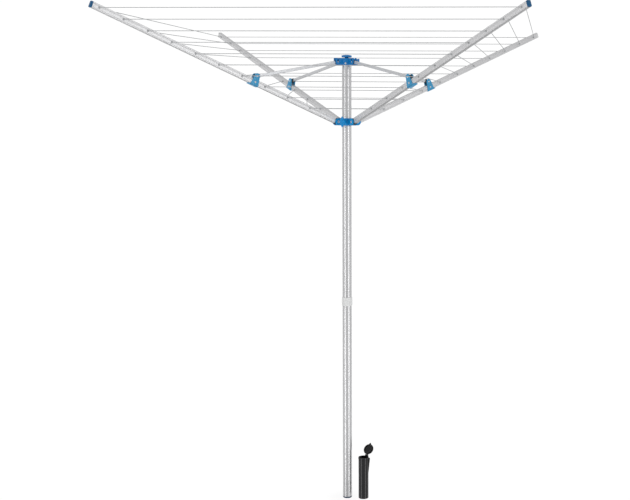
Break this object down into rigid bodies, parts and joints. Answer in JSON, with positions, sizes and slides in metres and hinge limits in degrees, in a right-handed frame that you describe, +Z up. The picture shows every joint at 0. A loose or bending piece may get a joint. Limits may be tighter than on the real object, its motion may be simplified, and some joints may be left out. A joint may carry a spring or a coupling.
{
  "type": "rotary clothesline",
  "caption": "Rotary clothesline: folding arms strung with line rise from a sliding hub on a two-part pole, with a loose ground socket beside it.",
  "frame": {"origin": "centre of the underside of the pole's foot cap", "axes": "+Z up along the pole, open arms along the diagonals of X and Y, ground socket towards +X, clamp knob towards -Y"},
  "size_m": [1.99, 1.99, 2.6051],
  "materials": {
    "pole_tube": "satin drawn aluminium with fine lengthwise grain",
    "arm_tube": "satin anodised aluminium",
    "strut_tube": "satin anodised aluminium",
    "blue_plastic": "moulded blue plastic, fine texture, slight sheen",
    "dark_blue_plastic": "moulded dark blue plastic",
    "black_plastic": "moulded black plastic",
    "grey_plastic": "moulded light grey plastic",
    "eyelet_plastic": "moulded mid-grey plastic",
    "steel": "bright zinc-plated steel",
    "line": "light grey plastic-coated line, slight gloss",
    "socket_plastic": "moulded black plastic, semi-gloss"
  },
  "bodies": {
    "base": {"lower_tube": "pole_tube", "foot_cap": "dark_blue_plastic", "pole_coupling": "grey_plastic"},
    "mast": {"upper_tube": "pole_tube", "top_hub": "blue_plastic", "top_hub_rivet": "steel", "top_cap": "blue_plastic"},
    "slider": {"lower_hub": "blue_plastic", "arm_pivot_rivets": "steel"},
    "clamp_pad": {"clamp_shoe": "black_plastic"},
    "clamp_screw": {"clamp_stud": "steel", "clamp_knob": "blue_plastic"},
    "socket": {"ground_socket": "socket_plastic", "lid_hinge_pin": "steel"},
    "lid": {"socket_lid": "socket_plastic"},
    "arm_back_right": {"arm_tube_back_right": "arm_tube", "arm_root_back_right": "black_plastic", "arm_cap_back_right": "grey_plastic", "bracket_back_right": "blue_plastic", "bracket_rivets_back_right": "steel", "eyelets_back_right": "eyelet_plastic", "line_back_right": "line"},
    "strut_back_right": {"strut_tube_back_right": "strut_tube", "strut_inner_end_back_right": "black_plastic", "strut_outer_end_back_right": "black_plastic", "strut_pin_back_right": "steel"},
    "arm_back_left": {"arm_tube_back_left": "arm_tube", "arm_root_back_left": "black_plastic", "arm_cap_back_left": "grey_plastic", "bracket_back_left": "blue_plastic", "bracket_rivets_back_left": "steel", "eyelets_back_left": "eyelet_plastic", "line_back_left": "line"},
    "strut_back_left": {"strut_tube_back_left": "strut_tube", "strut_inner_end_back_left": "black_plastic", "strut_outer_end_back_left": "black_plastic", "strut_pin_back_left": "steel"},
    "arm_front_left": {"arm_tube_front_left": "arm_tube", "arm_root_front_left": "black_plastic", "arm_cap_front_left": "blue_plastic", "bracket_front_left": "blue_plastic", "bracket_rivets_front_left": "steel", "eyelets_front_left": "eyelet_plastic", "line_front_left": "line"},
    "strut_front_left": {"strut_tube_front_left": "strut_tube", "strut_inner_end_front_left": "black_plastic", "strut_outer_end_front_left": "black_plastic", "strut_pin_front_left": "steel"},
    "arm_front_right": {"arm_tube_front_right": "arm_tube", "arm_root_front_right": "black_plastic", "arm_cap_front_right": "blue_plastic", "bracket_front_right": "blue_plastic", "bracket_rivets_front_right": "steel", "eyelets_front_right": "eyelet_plastic", "line_front_right": "line"},
    "strut_front_right": {"strut_tube_front_right": "strut_tube", "strut_inner_end_front_right": "black_plastic", "strut_outer_end_front_right": "black_plastic", "strut_pin_front_right": "steel"}
  },
  "joints": [
    {"name": "mast_turn", "type": "hinge", "parent": "base", "child": "mast", "pos_m": [0, 0, 1.101], "axis": [0, 0, 1], "continuous": true},
    {"name": "hub_slide", "type": "slide", "parent": "mast", "child": "slider", "axis": [0, 0, -1], "range_m": [0, 0.7138], "deforming": ["line_back_right", "line_back_left", "line_front_left", "line_front_right"]},
    {"name": "knob_turn", "type": "hinge", "parent": "clamp_pad", "child": "clamp_screw", "pos_m": [-0.01113, -0.07922, 2.067], "axis": [-0.1392, -0.9903, 0], "range_deg": [0, 360]},
    {"name": "pad_slide", "type": "slide", "parent": "slider", "child": "clamp_pad", "axis": [-0.1392, -0.9903, 0], "range_m": [0, 0.0012]},
    {"name": "socket_lift", "type": "slide", "parent": "base", "child": "socket", "axis": [0, 0, 1], "range_m": [0, 0.3]},
    {"name": "lid_hinge", "type": "hinge", "parent": "socket", "child": "lid", "pos_m": [0.10262, 0.03125, 0.2338], "axis": [-0.9272, 0.3746, 0], "range_deg": [-125, 0]},
    {"name": "arm_back_right_fold", "type": "hinge", "parent": "slider", "child": "arm_back_right", "pos_m": [0.04384, 0.04384, 2.067], "axis": [0.7071, -0.7071, 0], "range_deg": [0, 64.8]},
    {"name": "strut_back_right_fold", "type": "hinge", "parent": "arm_back_right", "child": "strut_back_right", "pos_m": [0.3865, 0.3865, 2.29217], "axis": [0.7071, -0.7071, 0], "range_deg": [-144.12, 0]},
    {"name": "arm_back_left_fold", "type": "hinge", "parent": "slider", "child": "arm_back_left", "pos_m": [-0.04384, 0.04384, 2.067], "axis": [0.7071, 0.7071, 0], "range_deg": [0, 64.8]},
    {"name": "strut_back_left_fold", "type": "hinge", "parent": "arm_back_left", "child": "strut_back_left", "pos_m": [-0.3865, 0.3865, 2.29217], "axis": [0.7071, 0.7071, 0], "range_deg": [-144.12, 0]},
    {"name": "arm_front_left_fold", "type": "hinge", "parent": "slider", "child": "arm_front_left", "pos_m": [-0.04384, -0.04384, 2.067], "axis": [-0.7071, 0.7071, 0], "range_deg": [0, 64.8]},
    {"name": "strut_front_left_fold", "type": "hinge", "parent": "arm_front_left", "child": "strut_front_left", "pos_m": [-0.3865, -0.3865, 2.29217], "axis": [-0.7071, 0.7071, 0], "range_deg": [-144.12, 0]},
    {"name": "arm_front_right_fold", "type": "hinge", "parent": "slider", "child": "arm_front_right", "pos_m": [0.04384, -0.04384, 2.067], "axis": [-0.7071, -0.7071, 0], "range_deg": [0, 64.8]},
    {"name": "strut_front_right_fold", "type": "hinge", "parent": "arm_front_right", "child": "strut_front_right", "pos_m": [0.3865, -0.3865, 2.29217], "axis": [-0.7071, -0.7071, 0], "range_deg": [-144.12, 0]}
  ],
  "couplings": [
    {"joint": "arm_back_right_fold", "follows": "hub_slide", "rad_per_m": 1.582},
    {"joint": "strut_back_right_fold", "follows": "hub_slide", "rad_per_m": -3.5214},
    {"joint": "arm_back_left_fold", "follows": "hub_slide", "rad_per_m": 1.582},
    {"joint": "strut_back_left_fold", "follows": "hub_slide", "rad_per_m": -3.5214},
    {"joint": "arm_front_left_fold", "follows": "hub_slide", "rad_per_m": 1.582},
    {"joint": "strut_front_left_fold", "follows": "hub_slide", "rad_per_m": -3.5214},
    {"joint": "arm_front_right_fold", "follows": "hub_slide", "rad_per_m": 1.582},
    {"joint": "strut_front_right_fold", "follows": "hub_slide", "rad_per_m": -3.5214}
  ]
}
